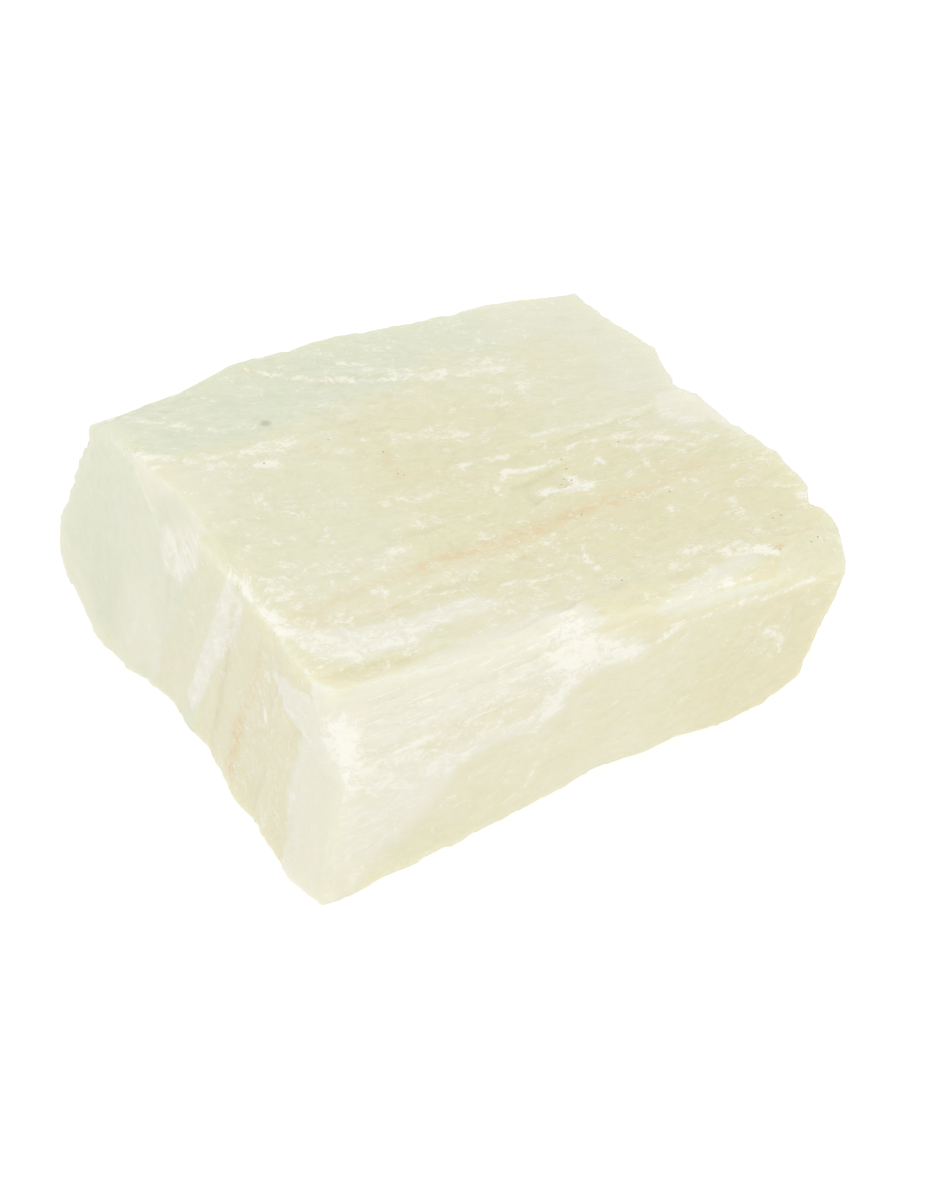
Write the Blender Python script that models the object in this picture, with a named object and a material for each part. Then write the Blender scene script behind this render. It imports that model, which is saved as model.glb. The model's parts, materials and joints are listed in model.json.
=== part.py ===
"""Raw calcite: one hand-sized block of milky, pale green calcite, broken along its cleavage.

The block is one solid. A cube is cut back by the named cleavage planes, which gives the flat
faces and their bevels. Flakes that split off along the layering leave ledges, which are shallow
ragged slabs cut from a face along its grain. Shell-shaped breaks leave scoops, which are
stretched icospheres: they scallop the broken right-hand end and nibble the bottom edges.

Axes: +Z up, +X along the layers and the long front edge, -Y towards the front face, -X towards
the smooth left face. The layers hold the X direction and lean, with their tops towards -Y.
The origin lies under the middle of the block's box, on the surface that the block rests on.
Sizes and places below are in millimetres and the scene is in metres.
"""

import math
import random

import bmesh
import bpy
from mathutils import Matrix, Vector

MM = 0.001

OBJECT_NAME = "calcite"

# Driving dimensions
ROUGH_WIDTH = 140.0  # the cube that the cleavage planes cut down
TOP_HEIGHT = 41.2  # of the top face above the base, at its left-hand edge
LAYER_LEAN = 16.0  # degrees off vertical of the layers inside the block
BOX_MIDDLE = Vector((0.79, 2.17, 0.0))  # middle of the block's box in the numbers below
SLAB_CLEARANCE = 6.0  # how far a ledge's slab stands out of the face
SLAB_STEP = 5.0  # length of each straight run of a ragged ledge
ALONG_LAYERS = 0.5  # sine of the angle to the layers under which a face takes its grain from X
SCOOP_DETAIL = 2  # subdivisions of the icosphere that cuts a scoop

# Each flat face: (outward direction, a point on the face)
CLEAVAGE = {
    "base": ((0, 0, -1), (0, 0, 0)),
    "top": ((0.10, 0, 1), (-41, 0, TOP_HEIGHT)),
    "front_low": ((0, -1, -0.268), (0, -35.5, 0)),
    "front_up": ((-0.077, -1, 0.24), (-1.5, -43.5, 30)),
    "brow": ((0.10, -0.25, 1), (20, -41.5, 34.8)),
    "back": ((0.035, 1, 0.38), (-20, 33.6, 38.6)),
    "back_right": ((0.27, 1, 0.38), (26, 31.4, 34)),
    "back_left": ((-0.058, 0.45, 0.89), (-38.5, 30.6, 38.7)),
    "left": ((-0.998, 0.069, 0.017), (-43.6, -30.5, 0)),
    "left_corner": ((-0.985, -0.17, -0.02), (-43.7, -29.5, 10)),
    "left_heel": ((-0.95, 0.28, -0.12), (-39.9, 40, 0)),
    "corner_kite": ((-0.80, -0.55, 0.20), (-42.9, -38.2, 33)),
    "right": ((1, 0.03, -0.09), (44.3, 0, 33)),
    "right_front": ((0.93, -0.36, -0.10), (43.6, -34, 33)),
    "right_corner": ((0.403, -0.522, 0.751), (40.3, -43.5, 28.3)),
    "right_toe": ((0.72, -0.20, -0.66), (37.6, -37, 3.5)),
}

# Ledges: (face, middle of the floor, (length along the grain, width, depth),
#          (degrees turned from the grain, degrees the floor tips about its length))
LEDGES = {
    "front_shelf": ("top", (-28.9, -41.4, 40), (46, 12, 1.9), (-8, 0)),
    "middle_left": ("top", (-35.5, -14.5, 40), (48, 62, 0.6), (-17, 0)),
    "middle_right": ("top", (18, -34.0, 35), (68, 62, 0.6), (-3, 0)),
    "back_strip": ("top", (15.5, 30.5, 36), (64, 24, 0.8), (-24, 2)),
    "hooked_hollow": ("top", (9.5, -12.0, 36), (14, 6, 1.1), (10, -4)),
    "stain_step": ("top", (-14, -32.0, 38), (66, 14, 1.0), (2, -1.5)),
    "olive_strip": ("left", (-42.5, -7.0, 22), (60, 33, 0.5), (0, 0)),
    "stained_strip": ("left", (-43.0, -14.5, 22), (60, 16, 1.3), (2, 0)),
    "splinter_top": ("front_up", (-16, -41, 35.5), (60, 3.4, 0.7), (2, 8)),
    "splinter_long": ("front_up", (-24, -42, 31), (54, 3.6, 0.6), (4, 9)),
    "splinter_low": ("front_up", (-32, -43, 26.5), (34, 3.2, 0.6), (5, 9)),
    "splinter_high": ("front_up", (8, -42, 34), (40, 2.6, 0.4), (5, 8)),
}

# One flake off the top left edge leaves a slanting facet that ends in a crushed patch
EDGE_FLAKE = ((-0.949, -0.048, 0.31), (-39.5, 16.0, 37.8), (24, 14, 0.0))

# How far a ragged ledge wanders: along the face, and in the depth of its floor
RAGGED_ALONG = 0.7
RAGGED_DEEP = 0.12
RAGGED_SEED = 7

# Scoops: (middle, radii)
SCOOPS = {
    "right_bite_back": ((46.2, 18.5, 30), (4.2, 4.6, 15)),
    "right_bite_mid": ((46.4, -0.5, 29), (4.6, 4.4, 16)),
    "right_bite_shallow": ((46.6, -9.5, 31), (4.0, 5.6, 12)),
    "right_bite_front": ((46.4, -21.0, 27), (2.8, 4.2, 13)),
    "right_bite_corner": ((44.6, -34.5, 34), (2.6, 5.0, 7)),
    "right_hollow_back": ((50.5, 10, 13), (10, 15, 10)),
    "right_hollow_front": ((49.0, -13, 11), (9, 12, 9)),
    "right_hollow_low": ((47.0, 28, 20), (6.5, 9, 8)),
    "grey_slope": ((50, 14, 46), (16, 18, 14.2)),
    "front_belly": ((1, -37.8, -0.8), (18, 4.4, 6.4)),
    "front_nick": ((-18, -37.8, -0.8), (8, 3.0, 3.2)),
    "left_nick": ((-42.6, 13, -0.8), (3.2, 11, 3.0)),
    "left_chip": ((-42.9, -9, -0.8), (2.4, 6, 2.4)),
    "back_flake": ((-4, 49.0, 5), (17, 3.6, 11)),
    "back_chip": ((24, 46.0, -1), (9, 4, 4)),
}

# Small pits broken out of the top face: (radii, how many, how deep)
PIT_RADII = (2.4, 1.5, 1.5)
PIT_COUNT = 7
PIT_SINK = 0.55
PIT_FIELD = ((-32, 34), (-24, 12))  # the stretch of the top face that holds them, in X and in Y
PIT_DETAIL = 1
PIT_SEED = 11


def cleavage_frame(face, point, turn=0.0, tip=0.0):
    """A frame on a face under the given point: Z is its outward direction and X its grain."""
    normal, origin = (Vector(value) for value in CLEAVAGE[face])
    lean = math.radians(LAYER_LEAN)
    layer = Vector((0, math.cos(lean), math.sin(lean)))
    normal.normalize()
    grain = normal.cross(layer)
    if grain.length < ALONG_LAYERS:
        grain = Vector((1, 0, 0)) - normal * normal.x
    grain.normalize()
    point = Vector(point)
    point -= normal * (point - origin).dot(normal)
    frame = Matrix((grain, normal.cross(grain), normal)).transposed().to_4x4()
    frame.translation = point
    turned = frame @ Matrix.Rotation(math.radians(turn), 4, "Z")
    return turned @ Matrix.Rotation(math.radians(tip), 4, "X")


def new_object(name, mesh_code, collection):
    """Makes an object from bmesh code in millimetres, set down in metres about the origin."""
    shape = bmesh.new()
    mesh_code(shape)
    bmesh.ops.translate(shape, verts=shape.verts, vec=-BOX_MIDDLE)
    bmesh.ops.scale(shape, verts=shape.verts, vec=(MM, MM, MM))
    mesh = bpy.data.meshes.new(name)
    shape.to_mesh(mesh)
    shape.free()
    made = bpy.data.objects.new(name, mesh)
    collection.objects.link(made)
    return made


def cut_to_cleavage(shape):
    """A rough cube, cut back by each cleavage plane in turn and closed again."""
    bmesh.ops.create_cube(shape, size=ROUGH_WIDTH)
    for direction, point in CLEAVAGE.values():
        cut = bmesh.ops.bisect_plane(
            shape,
            geom=shape.verts[:] + shape.edges[:] + shape.faces[:],
            plane_co=point,
            plane_no=direction,
            clear_outer=True,
        )
        rim = [item for item in cut["geom_cut"] if isinstance(item, bmesh.types.BMEdge)]
        bmesh.ops.edgeloop_fill(shape, edges=rim)
    bmesh.ops.recalc_face_normals(shape, faces=shape.faces)


def slab(size, frame, ragged=RAGGED_ALONG, seed=0):
    """Code for a slab that cuts into a face to the given depth and stands clear outside it.

    The slab is a cube sliced across its length. Each slice wanders to and fro along the face
    and a little in depth, by seeded random steps, so that the ledge it leaves is ragged.
    """

    def code(shape):
        chance = random.Random(f"{RAGGED_SEED} {seed}")
        length, width, depth = size
        height = depth + SLAB_CLEARANCE
        scale = Matrix.Diagonal((length, width, height, 1))
        lift = Matrix.Translation((0, 0, height / 2 - depth))
        bmesh.ops.create_cube(shape, size=1.0, matrix=lift @ scale)
        slices = max(1, round(length / SLAB_STEP))
        for index in range(1, slices):
            bmesh.ops.bisect_plane(
                shape,
                geom=shape.verts[:] + shape.edges[:] + shape.faces[:],
                plane_co=((index / slices - 0.5) * length, 0, 0),
                plane_no=(1, 0, 0),
            )
        wander = {}
        for vert in shape.verts:
            corner = (round(vert.co.x, 2), vert.co.y > 0)
            if corner not in wander:
                aside = chance.uniform(-ragged, ragged)
                wander[corner] = (aside, chance.uniform(-1, 1) * RAGGED_DEEP * depth)
            vert.co.y += wander[corner][0]
            vert.co.z += wander[corner][1]
        bmesh.ops.triangulate(shape, faces=shape.faces)
        bmesh.ops.recalc_face_normals(shape, faces=shape.faces)
        bmesh.ops.transform(shape, matrix=frame, verts=shape.verts)

    return code


def scoop(middle, radii, detail=SCOOP_DETAIL):
    """Code for a stretched icosphere, whose far side is the floor of a shell-shaped break."""

    def code(shape):
        stretch = Matrix.Translation(middle) @ Matrix.Diagonal((*radii, 1))
        bmesh.ops.create_icosphere(shape, subdivisions=detail, radius=1.0, matrix=stretch)

    return code


def edge_flake():
    """Code for a slab whose floor is the slanting facet, laid along the edge that it bevels."""
    direction, point, size = EDGE_FLAKE
    normal = Vector(direction).normalized()
    along = (Vector((0, 1, 0)) - normal * normal.y).normalized()
    frame = Matrix((along, normal.cross(along), normal)).transposed().to_4x4()
    frame.translation = Vector(point)
    return slab(size, frame, ragged=0.0)


def pit_places():
    """Middles of the small pits: scattered over the top face, away from its edges."""
    chance = random.Random(PIT_SEED)
    lift = Vector((0, 0, PIT_RADII[2] - PIT_SINK - LEDGES["middle_left"][2][2]))
    for _ in range(PIT_COUNT):
        x, y = (chance.uniform(*reach) for reach in PIT_FIELD)
        yield cleavage_frame("top", (x, y, TOP_HEIGHT)) @ lift


def cutter_shapes():
    """Every cutter by name, with its bmesh code."""
    for name, (face, point, size, (turn, tip)) in LEDGES.items():
        yield name, slab(size, cleavage_frame(face, point, turn, tip), seed=name)
    yield "edge_flake", edge_flake()
    for name, (middle, radii) in SCOOPS.items():
        yield name, scoop(middle, radii)
    for index, middle in enumerate(pit_places()):
        yield f"pit_{index}", scoop(middle, PIT_RADII, PIT_DETAIL)


def calcite_material():
    """Waxy, pale green-cream calcite."""
    material = bpy.data.materials.new("pale_green_calcite")
    material.use_nodes = True
    shader = material.node_tree.nodes["Principled BSDF"]
    shader.inputs["Base Color"].default_value = (0.78, 0.80, 0.60, 1.0)
    shader.inputs["Roughness"].default_value = 0.42
    shader.inputs["Metallic"].default_value = 0.0
    shader.inputs["Subsurface Weight"].default_value = 0.6
    shader.inputs["Subsurface Scale"].default_value = 8 * MM
    return material


def new_collection(name):
    collection = bpy.data.collections.new(name)
    bpy.context.scene.collection.children.link(collection)
    return collection


def main():
    for old in list(bpy.data.objects):
        bpy.data.objects.remove(old, do_unlink=True)
    stone = new_collection("raw_calcite")
    cutters = new_collection("raw_calcite_cutters")
    block = new_object(OBJECT_NAME, cut_to_cleavage, stone)
    block.data.materials.append(calcite_material())
    for name, code in cutter_shapes():
        cutter = new_object(name, code, cutters)
        cutter.hide_render = True
        cutter.display_type = "WIRE"
        cut = block.modifiers.new(name, "BOOLEAN")
        cut.operation = "DIFFERENCE"
        cut.solver = "EXACT"
        cut.object = cutter


main()
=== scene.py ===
"""Raw calcite: one hand-sized block of milky, pale green calcite, standing on its flat base.

The block is one closed sheet of quads wrapped round a leaning box. Each point of the sheet is
sent out from a smaller box inside the block, along a ray, to the nearest cleavage face; ledges
and shell-shaped breaks then stop the ray short, and a relief for each kind of face moves it a
little. Marks (crushed white bruises, rust, tone, milkiness) are worked out at each point and
kept as attributes, which the material turns into colour, gloss and fine bumps.

Places below are in millimetres in the block's working frame: +X runs along the layers, -Y
towards the front face, +Z up. MIDDLE moves them under the middle of the block's box.
"""

import json
import math

import bpy
import numpy as np
from bpy.props import FloatProperty, FloatVectorProperty, IntProperty, PointerProperty
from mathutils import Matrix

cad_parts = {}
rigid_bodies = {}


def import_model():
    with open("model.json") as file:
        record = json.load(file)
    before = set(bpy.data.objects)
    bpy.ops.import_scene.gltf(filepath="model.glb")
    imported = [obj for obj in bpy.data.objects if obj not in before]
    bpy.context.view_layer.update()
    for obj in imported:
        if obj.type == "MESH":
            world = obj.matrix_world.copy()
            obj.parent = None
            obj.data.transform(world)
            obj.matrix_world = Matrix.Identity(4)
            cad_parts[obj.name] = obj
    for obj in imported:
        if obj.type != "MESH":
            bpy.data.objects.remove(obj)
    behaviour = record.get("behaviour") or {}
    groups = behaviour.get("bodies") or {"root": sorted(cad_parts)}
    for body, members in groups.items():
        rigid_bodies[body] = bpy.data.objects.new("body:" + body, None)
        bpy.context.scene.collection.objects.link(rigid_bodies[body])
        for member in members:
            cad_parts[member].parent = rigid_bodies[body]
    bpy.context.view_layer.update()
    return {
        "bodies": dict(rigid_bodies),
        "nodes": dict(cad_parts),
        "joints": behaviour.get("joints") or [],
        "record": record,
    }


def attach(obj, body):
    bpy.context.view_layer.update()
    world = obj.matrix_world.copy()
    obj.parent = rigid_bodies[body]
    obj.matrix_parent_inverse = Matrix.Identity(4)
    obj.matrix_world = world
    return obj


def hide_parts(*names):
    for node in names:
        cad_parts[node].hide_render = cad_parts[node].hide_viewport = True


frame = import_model()

bl_info = {
    "name": "Raw Calcite",
    "version": (1, 0, 0),
    "blender": (4, 5, 0),
    "location": "View3D > Sidebar > Raw Calcite",
    "description": "Makes a block of raw, pale green calcite and a plain studio for it",
    "category": "Object",
}

MM = 0.001
NODE = "calcite"
MIDDLE = np.array([0.79, 2.17, 0.0])
TOP_HEIGHT = 41.2
LAYER_LEAN = math.radians(16.0)

# Each flat face: (outward direction, a point on the face, kind of break)
CLEAVAGE = {
    "base": ((0, 0, -1), (0, 0, 0), "base"),
    "top": ((0.1, 0, 1), (-41, 0, TOP_HEIGHT), "top"),
    "front_low": ((-0.024, -1, -0.245), (0, -36, 0), "smooth"),
    "front_up": ((-0.077, -1, 0.24), (-1.5, -43.5, 30), "fibrous"),
    "brow": ((0.1, -0.25, 1), (20, -41.5, 34.8), "top"),
    "back": ((0.035, 1, 0.38), (-20, 33.6, 38.6), "stepped"),
    "back_right": ((0.27, 1, 0.38), (26, 31.4, 34), "stepped"),
    "back_left": ((-0.058, 0.45, 0.89), (-38.5, 30.6, 38.7), "top"),
    "left": ((-0.998, 0.069, 0.017), (-43.6, -30.5, 0), "left"),
    "left_corner": ((-0.985, -0.17, -0.02), (-43.7, -29.5, 10), "smooth"),
    "left_heel": ((-0.95, 0.28, -0.12), (-39.9, 40, 0), "left"),
    "corner_kite": ((-0.8, -0.55, 0.2), (-42.9, -38.2, 33), "smooth"),
    "right": ((1, 0.03, -0.09), (44.3, 0, 33), "shell"),
    "right_front": ((0.93, -0.36, -0.1), (43.6, -34, 33), "shell"),
    "right_corner": ((0.403, -0.522, 0.751), (40.3, -43.5, 28.3), "shell"),
    "right_toe": ((0.72, -0.2, -0.66), (37.6, -37, 3.5), "shell"),
    "front_toe": ((-0.55, -0.74, -0.4), (-43.2, -35.9, 0), "smooth"),
    "back_tip": ((0.62, 0.6, 0.5), (42.6, 28.6, 32.6), "smooth"),
}
FLAKED = len(CLEAVAGE)
KINDS = ("base", "top", "smooth", "fibrous", "stepped", "left", "shell")

# Ledges: (face, middle of the floor, (length along the grain, width, depth),
#          (degrees turned from the grain, degrees the floor tips about its length))
LEDGES = {
    "front_shelf": ("top", (-28.9, -41.4, 40), (46, 12, 1.4), (-8, 0)),
    "middle_left": ("top", (-35.5, -14.5, 40), (48, 62, 0.6), (-17, 0)),
    "middle_right": ("top", (18, -34, 35), (68, 62, 0.35), (-3, 0)),
    "back_strip": ("top", (15.5, 30.5, 36), (64, 24, 0.5), (-24, 2)),
    "hooked_hollow": ("top", (9.5, -12, 36), (14, 6, 1.1), (10, -4)),
    "stain_step": ("top", (-14, -32, 38), (66, 14, 1), (2, -1.5)),
    "olive_strip": ("left", (-42.5, -7, 22), (60, 33, 0.35), (0, 0)),
    "stained_strip": ("left", (-43, -14.5, 22), (60, 16, 0.9), (2, 0)),
    "splinter_top": ("front_up", (-16, -41, 35.5), (60, 3.4, 0.3), (2, 8)),
    "splinter_long": ("front_up", (-24, -42, 31), (54, 3.6, 0.28), (4, 9)),
    "splinter_low": ("front_up", (-32, -43, 26.5), (34, 3.2, 0.28), (5, 9)),
    "splinter_high": ("front_up", (8, -42, 34), (40, 2.6, 0.2), (5, 8)),
}
# A flat flake off the top left edge: outward direction, a point on it, and its ends in Y
EDGE_FLAKE = ((-0.905, -0.122, 0.409), (-40.1, 9.5, 34.5), (-2.5, 30.0))

# Shell-shaped breaks: (middle, radii)
SCOOPS = {
    "right_bite_back": ((46.2, 18.5, 30), (4.2, 4.6, 15)),
    "right_bite_mid": ((46.4, -0.5, 29), (4.6, 4.4, 16)),
    "right_bite_shallow": ((46.6, -9.5, 31), (4, 5.6, 12)),
    "right_bite_front": ((46.8, -21, 27), (2.8, 4.2, 13)),
    "right_bite_corner": ((45.4, -33.5, 35), (2.4, 3.2, 7)),
    "right_hollow_back": ((50.5, 10, 13), (10, 15, 10)),
    "right_hollow_front": ((49, -13, 11), (9, 12, 9)),
    "right_hollow_low": ((47, 23, 20), (6, 7, 8)),
    "grey_slope": ((50, 14, 46), (16, 18, 14.2)),
    "front_nick": ((-17, -38.2, -0.8), (4, 2.8, 3.2)),
    "left_chip": ((-42.9, 16, -0.8), (2.2, 5, 2.4)),
    "back_flake": ((-4, 49, 5), (17, 3.6, 11)),
    "back_chip": ((24, 46, -1), (9, 4, 4)),
}

# Slow swells and hollows: (middle, radii, how far and which way the skin moves there)
SWELLS = {
    "belly": ((5, -36, 0), (9, 6, 6), (0, 2.2, 0)),
    "belly right": ((18, -36, 0), (5, 5, 5), (0, 1.3, 0)),
    "belly left": ((-7, -36, 0), (5, 4, 4), (0, 0.4, 0)),
    "toe front": ((-40, -36, 1), (5, 5, 7), (0.2, -0.9, 0)),
    "heel": ((-40, 29, 2), (8, 6.5, 8), (-2.1, 0, 0)),
    "heel hollow": ((-41, 0, 0), (6, 6, 6), (0.8, 0, 0)),
    "heel hollow back": ((-40.5, 11.5, 0), (6, 4.5, 6), (1.2, 0, 0)),
    "heel front": ((-42, -12, 1), (5, 4, 5), (-0.7, 0, 0)),
    "foot": ((-27, -36, 0), (9, 5, 5), (0, -1.3, 0)),
    "toe fill": ((-41, -35.5, 0), (5, 5, 5), (-0.8, -1, 0)),
    "toe right": ((-35, -36, 0), (5, 4, 4), (0, -0.6, 0)),
    "heel middle": ((-40.5, 23.5, 1), (4, 3.5, 4), (-0.8, 0, 0)),
    "heel end": ((-38.5, 47.5, 1), (4, 4, 4), (0.4, -0.3, 0)),
    "belly foot": ((0, -35.5, 0), (3, 4, 4), (0, -0.2, 0)),
    "right toe edge": ((37, -39, 9), (3.5, 3, 4), (-0.2, 0.1, 0)),
    "right toe foot": ((32.5, -37, 1.5), (3.5, 3, 3), (0, 0.4, 0.3)),
    "heel right": ((29, -37, 0), (6, 5, 5), (0, 0.6, 0)),
    "heel back": ((-39, 37, 3), (7, 9, 7), (-0.7, 0.2, 0)),
    "top left corner": ((-39.5, 38, 40), (5, 6, 6), (0.35, 0, 0.6)),
    "toe": ((-43.6, -29, 0), (5, 7, 7), (-1, 0, 0)),
    "back left corner": ((-38.5, 41, 14), (6, 9, 9), (-1.1, 0.7, 0)),
    "back left top": ((-25, 34, 38), (12, 7, 6), (0, -0.5, -0.6)),
    "back top": ((0.5, 33, 36.5), (6, 6, 6), (0, 0.8, 0.5)),
    "back top left": ((-13, 33, 38), (6, 6, 6), (0, 0.3, 0.5)),
    "back dip": ((15, 33, 35), (5, 6, 6), (0, -0.4, -0.3)),
    "back top right": ((31, 30, 33), (6, 6, 6), (0, 0.5, 0.35)),
    "slope edge": ((42.5, 13, 32.5), (6, 7.5, 6), (1.1, 0, 0)),
    "slope notch": ((42.5, 1, 33), (4, 3.4, 7), (-1.2, 0, 0)),
    "right edge": ((44, -20, 32.5), (6, 9, 7), (0.8, 0, 0)),
    "lobe": ((41, -39.5, 28), (7, 6, 9), (2.5, -1, 0)),
    "lobe foot": ((38, -40, 17), (6, 5, 6), (0.4, -0.2, 0)),
    "lobe notch": ((43.5, -32.4, 32.5), (3, 2.4, 6), (-1.3, 0, 0)),
}

# The wrapping box, in layer coordinates, where a layer stands upright
LAYER_SHEAR = 0.30
OUTER_BOX = np.array([[-45.0, -36.0, 0.0], [45.0, 49.0, 41.0]])
INNER_BOX = np.array([[-34.0, -27.0, 9.0], [34.0, 34.5, 28.0]])

# Crushed marks on the top face: (points in X and Y, half-width, strength)
TOP_BRUISES = {
    "corner line": (((-34, 32), (-32, 26), (-28, 22.5), (-25, 20), (-20, 18)), 0.5, 0.66),
    "back smear": (((-31, 29), (-27, 25), (-25, 23), (-22, 21)), 1.5, 0.35),
    "long line": (((-14, 31), (-10, 27.5), (-5.5, 23.8), (2.5, 20.4), (12, 16), (21, 15)),
        0.6, 0.86),
    "long line flecks": (((0, 26), (2.5, 24), (5, 21.5), (9, 19)), 1.6, 0.48),
    "back flecks": (((12, 18), (17, 18.5), (21, 16.4), (22, 12.4), (20.3, 7.3)), 1.8, 0.46),
    "back band": (((18, 17), (21, 16.5), (23, 14)), 1.9, 0.53),
    "corner dots": (((20, 10.5), (20, 8.5), (21, 6.5)), 1.2, 0.53),
    "first ledge": (((-39, 20.5), (-36, 17.8), (-31, 15.2), (-26.5, 14.1), (-21.6, 13.5),
        (-18, 11.7)), 0.9, 0.68),
    "first ledge foot": (((-38, 16.3), (-32.3, 15.4), (-29.8, 12.6), (-25, 10.9), (-21, 9.5)),
        1.2, 0.56),
    "first ledge end": (((-21, 15), (-19, 13.5), (-16, 11.5), (-14, 10), (-12, 7.5)), 1.3, 0.5),
    "left band": (((-36, 13.2), (-32, 12), (-27, 10.5)), 2.1, 0.36),
    "thin line back": (((8, 9.5), (12, 8.5), (17, 7)), 0.5, 0.53),
    "thin line middle": (((-3, -2.6), (3.8, -2.4), (8.8, -4.3)), 0.6, 0.62),
    "left edge": (((-40, -8), (-40.5, -12), (-41, -16)), 0.7, 0.62),
    "left edge low": (((-40.1, -10.5), (-40.6, -15.2), (-40.8, -19), (-40.6, -25)), 1.9, 0.82),
    "left edge crumb": (((-38, -4), (-38.5, -9), (-38, -15), (-37, -20)), 2.4, 0.42),
    "rusty step flecks": (((-38, -24), (-34, -25), (-28, -26), (-21.6, -26), (-14, -27)),
        2.2, 0.4),
    "seam flecks": (((-34, -18), (-26, -18), (-17, -17)), 2.2, 0.3),
    "lobed ledge rim": (((-40, -31.5), (-38, -32), (-35, -33), (-30, -33), (-26, -33)), 0.7, 0.9),
    "middle line": (((24, -8), (27.5, -10.5), (30.5, -11.5), (33, -14)), 0.8, 0.48),
    "right edge line": (((26, -7), (32, -9), (38, -13.5), (41, -16.5)), 1.4, 0.44),
    "ledge line": (((9, -2), (14.4, -1.7), (20, -1.9), (24, -3), (30, -4.2), (32, -6)), 0.6, 0.66),
    "second ledge line": (((17, -5.8), (22, -5.7), (28, -7.7), (31.6, -9.3), (35, -13.5)),
        0.7, 0.66),
    "slope crumbs": (((35, -4), (38, -8)), 1.8, 0.45),
    "wave": (((-11, -5.5), (-9.5, -7), (-7.5, -7.5), (-5, -7)), 1, 0.62),
    "hook": (((3, -12), (3, -10), (4.5, -8), (6.5, -7), (8.5, -7.5), (12, -8), (15, -8)),
        0.6, 0.79),
    "hook foot": (((8.5, -12.8), (11, -13.3), (13, -14.6), (15.3, -14.8)), 1.1, 0.95),
    "hook heel": (((13.5, -14.5), (14.5, -13.2), (14.2, -11.5)), 1, 0.8),
    "hook toe": (((13.5, -15.5), (14.6, -17)), 0.8, 0.66),
    "middle crumbs": (((-6, 8), (2, 5), (10, 3)), 3, 0.36),
    "blob left": (((-18.5, -17), (-17, -16.5)), 1.4, 0.75),
    "blob middle": (((-12, -11.5), (-12, -13)), 1.2, 0.7),
    "blob on stain": (((-25, -22.5), (-24.5, -23.5)), 1, 0.79),
    "blob right": (((-5.5, -19), (-3.5, -21)), 1, 0.62),
    "flake low": (((2, -23.5), (3.5, -25), (3.5, -27)), 1.1, 0.62),
    "forked flake": (((6.5, -26), (5.5, -29), (5.5, -32)), 0.7, 0.7),
    "short line": (((-0.5, -26.5), (1, -29)), 0.6, 0.62),
    "lower line": (((-8.5, -28.5), (-3, -30.5), (1, -30)), 0.6, 0.53),
    "forked fleck": (((27, -12), (26, -15), (26, -17)), 0.6, 0.66),
    "small fleck": (((19, -11), (20.5, -10.5), (20.5, -11.5)), 0.7, 0.66),
    "right fleck": (((29, -20), (30, -21)), 0.7, 0.66),
    "right flake": (((21.5, -23), (22.5, -24.5), (22, -26)), 0.8, 0.7),
    "right tick": (((32.5, -27), (31.5, -30)), 0.6, 0.57),
    "corner crumb": (((41, -30), (42, -32)), 1.6, 0.66),
    "right edge crumb": (((38, -21), (40, -26), (41, -29)), 2.1, 0.4),
    "brow left": (((19, -34.5), (24, -35.5), (27.5, -37)), 1.4, 0.6),
    "brow blob": (((24, -37), (27, -38.2), (30, -39.6)), 1.6, 0.9),
    "brow haze": (((8.5, -41.5), (15, -42), (21, -42), (26, -41.5)), 1.6, 0.44),
    "brow crumbs": (((8, -40.5), (14, -40.5), (20, -39.5)), 1, 0.62),
    "brow streak": (((10, -42.5), (16, -43), (24, -43)), 0.6, 0.75),
}

# Crushed marks on the left face, from points in Y and Z
LEFT_BRUISES = {
    "facet line": (((22, 39.5), (18.5, 38.5), (16, 37.5), (14, 36.5), (11.5, 34.5), (9, 33.5)),
        0.5, 0.75),
    "low blob": (((19.5, 13), (20.5, 9.5), (22, 5.5)), 1.3, 0.45),
    "pale strip": (((-5.5, 26), (-3.5, 22), (-1.5, 18)), 1.4, 0.62),
    "green tick": (((-6.5, 23), (-5.5, 18)), 0.4, 0.45),
    "brown ticks": (((-18, 26.5), (-19, 24.5), (-20, 22.5), (-21, 20.5)), 0.6, 0.75),
    "brown ticks high": (((-20.5, 33.5), (-21.5, 30)), 0.6, 0.5),
    "brown ticks left": (((-16, 25), (-18, 24)), 0.5, 0.5),
}

# Crushed marks on the front face, from points in X and Z
FRONT_BRUISES = {
    "bruise haze": (((-12, 34), (-6, 32), (0, 30)), 5, 0.45),
    "kite foot": (((-41.5, 27), (-41.5, 23.5), (-41.5, 19)), 0.7, 0.45),
    "fibres left": (((-38, 33), (-30, 33), (-20, 32), (-10, 32)), 5, 0.36),
    "fibres low": (((-36, 27), (-29, 25.5), (-22, 24.5), (-15, 25.5)), 3.6, 0.55),
    "fibres foot": (((-38, 22.5), (-31, 21), (-26, 20), (-22, 22)), 3, 0.7),
    "low chip": (((-9, 11.5), (-9.5, 8), (-11, 6.5), (-13, 5.5)), 0.8, 0.75),
    "low chips left": (((-19, 4.5), (-17, 4.5)), 0.8, 0.5),
    "bruise tail": (((-9.5, 21), (-6.5, 17), (-4.5, 13)), 0.8, 0.4),
    "bruise wing": (((-14, 28), (-11, 27), (-8.5, 25)), 2.4, 0.6),
    "brow line": (((8, 30), (13, 31.5), (18, 31), (22, 31), (26, 30.2), (30, 29.8), (35, 29.5)),
        0.8, 0.85),
    "brow line end": (((26, 30.5), (31, 30), (38, 29)), 0.7, 0.74),
    "hook low": (((27.6, 21), (30, 19.5), (31.3, 17.5), (31, 15), (29.5, 14)), 0.8, 0.95),
    "hook heart": (((30.6, 17.5), (30.3, 15.2)), 1.2, 0.85),
    "hook tick": (((27.5, 22.5), (30, 21.5)), 0.5, 0.7),
}

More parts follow.
